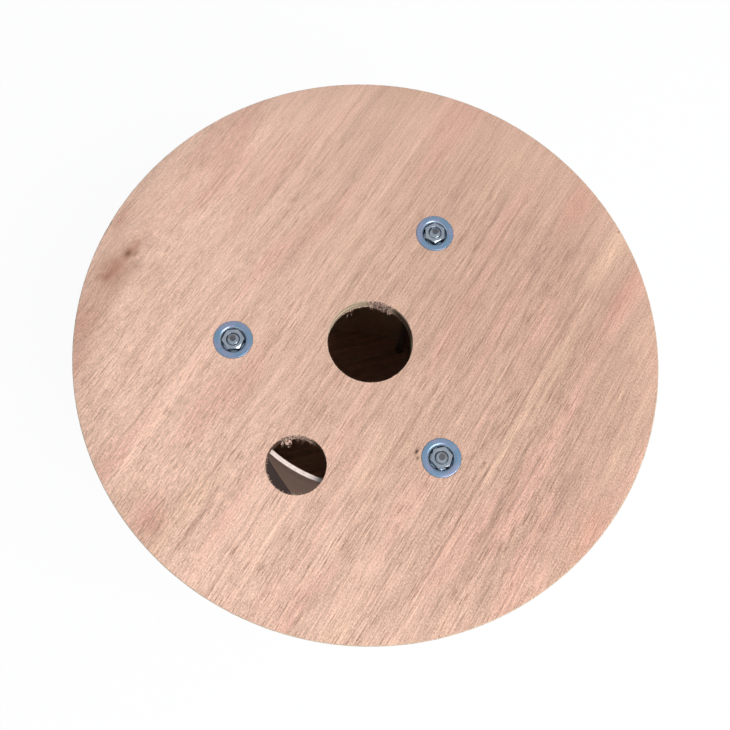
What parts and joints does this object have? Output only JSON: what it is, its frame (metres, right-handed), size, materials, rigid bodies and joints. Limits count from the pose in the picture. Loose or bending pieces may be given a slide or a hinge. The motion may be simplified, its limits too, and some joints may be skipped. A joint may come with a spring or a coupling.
{
  "type": "wooden cable drum",
  "caption": "Plywood cable drum: round flanges clamped by tie bolts on a paperboard barrel, with a spindle bore and a cable start hole.",
  "frame": {"origin": "centre of the lower flange's outer face, on the spindle axis", "axes": "+Z along the spindle axis, from the lower flange to the upper one; a tie bolt stands on the -X side"},
  "size_m": [0.3, 0.3, 0.2203],
  "materials": {
    "plywood": "raw sanded veneer",
    "paperboard": "matte paper lining",
    "zinc_plated_steel": "bright zinc with a blue tint"
  },
  "bodies": {
    "root": {"flange_top": "plywood", "flange_bottom": "plywood", "barrel": "paperboard", "tie_bolt_1": "zinc_plated_steel", "tie_bolt_2": "zinc_plated_steel", "tie_bolt_3": "zinc_plated_steel", "washer_top_1": "zinc_plated_steel", "washer_top_2": "zinc_plated_steel", "washer_top_3": "zinc_plated_steel", "washer_bottom_1": "zinc_plated_steel", "washer_bottom_2": "zinc_plated_steel", "washer_bottom_3": "zinc_plated_steel", "nut_1": "zinc_plated_steel", "nut_2": "zinc_plated_steel", "nut_3": "zinc_plated_steel"}
  },
  "joints": []
}
